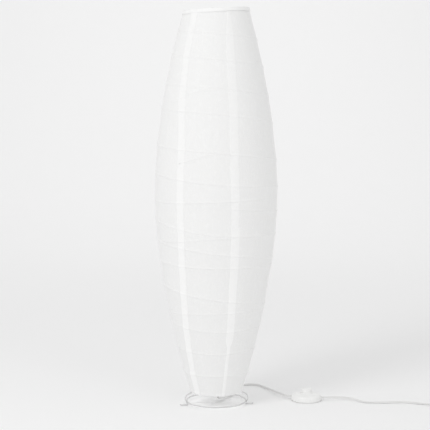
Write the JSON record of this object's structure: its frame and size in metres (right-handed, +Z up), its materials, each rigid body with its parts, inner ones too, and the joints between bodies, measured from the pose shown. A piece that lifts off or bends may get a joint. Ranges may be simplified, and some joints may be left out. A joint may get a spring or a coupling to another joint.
{
  "type": "paper lantern floor lamp",
  "caption": "Tall bellied white paper lantern lamp on a low strip foot with a ring, with a flat lead, a round foot switch and a plug.",
  "frame": {"origin": "on the floor under the middle of the shade", "axes": "+Z up, -Y towards the viewer of the picture, +X to the viewer's right"},
  "size_m": [0.9666, 0.4036, 1.15],
  "materials": {
    "lantern_paper": "matt, thin white paper with faint fibres",
    "white_wire": "satin white enamel",
    "binding_tape": "matt paper tape",
    "white_strip": "satin white powder coat",
    "foot_coat": "satin light grey coat",
    "plated_steel": "bright zinc plate",
    "white_plastic": "fine matt",
    "gloss_white_plastic": "smooth, low gloss",
    "lead_sheath": "soft sheen",
    "holder_insert": "unglazed ceramic",
    "brass": "plain",
    "nickel": "bright nickel plate",
    "cap_aluminium": "bright rolled",
    "opal_glass": "opal white"
  },
  "bodies": {
    "lamp": {"paper_gore_1": "lantern_paper", "paper_gore_2": "lantern_paper", "paper_gore_3": "lantern_paper", "paper_gore_4": "lantern_paper", "paper_gore_5": "lantern_paper", "paper_gore_6": "lantern_paper", "rib_wire_upper": "white_wire", "rib_wire_lower": "white_wire", "rib_wire_ties": "white_wire", "top_ring": "white_wire", "bottom_ring": "white_wire", "rim_binding": "binding_tape", "top_bar": "white_strip", "upright_left": "white_strip", "upright_right": "white_strip", "cap_nuts": "plated_steel", "top_nuts": "plated_steel", "carrier_bar": "white_strip", "upright_nuts": "plated_steel", "hub_plate": "foot_coat", "hub_rivets": "plated_steel", "leg_left": "foot_coat", "leg_right": "foot_coat", "leg_back": "foot_coat", "floor_ring": "foot_coat", "stem_tube": "white_strip", "stem_nuts": "plated_steel", "lead_bush": "white_plastic", "stem_lead": "lead_sheath", "holder_cap": "white_plastic", "holder_insert": "holder_insert", "holder_contacts": "brass", "holder_shell": "white_plastic", "lead_to_switch": "lead_sheath", "switch_base": "white_plastic", "switch_cover": "gloss_white_plastic", "switch_spring": "plated_steel", "switch_block": "white_plastic", "switch_clamps": "white_plastic", "switch_screws": "plated_steel", "lead_to_coil": "lead_sheath", "lead_coil": "lead_sheath", "lead_to_plug": "lead_sheath", "plug_body": "gloss_white_plastic", "plug_sleeves": "white_plastic", "plug_pins": "nickel"},
    "bulb_foot": {"bulb_contact": "nickel"},
    "bulb": {"bulb_cap": "cap_aluminium", "bulb_glass": "opal_glass"},
    "button": {"switch_button": "gloss_white_plastic"}
  },
  "joints": [
    {"name": "bulb_lift", "type": "slide", "parent": "lamp", "child": "bulb_foot", "axis": [0, 0, 1], "range_m": [0, 0.0182]},
    {"name": "bulb_turn", "type": "hinge", "parent": "bulb_foot", "child": "bulb", "pos_m": [0, 0, 0.43], "axis": [0, 0, 1], "range_deg": [0, 1800]},
    {"name": "button_press", "type": "slide", "parent": "lamp", "child": "button", "axis": [0, 0, -1], "range_m": [0, 0.0035], "stiffness_N_per_m": 400, "springref_m": -0.004, "deforming": ["switch_spring"]}
  ],
  "couplings": [
    {"joint": "bulb_lift", "follows": "bulb_turn", "m_per_rad": 0.000577}
  ]
}
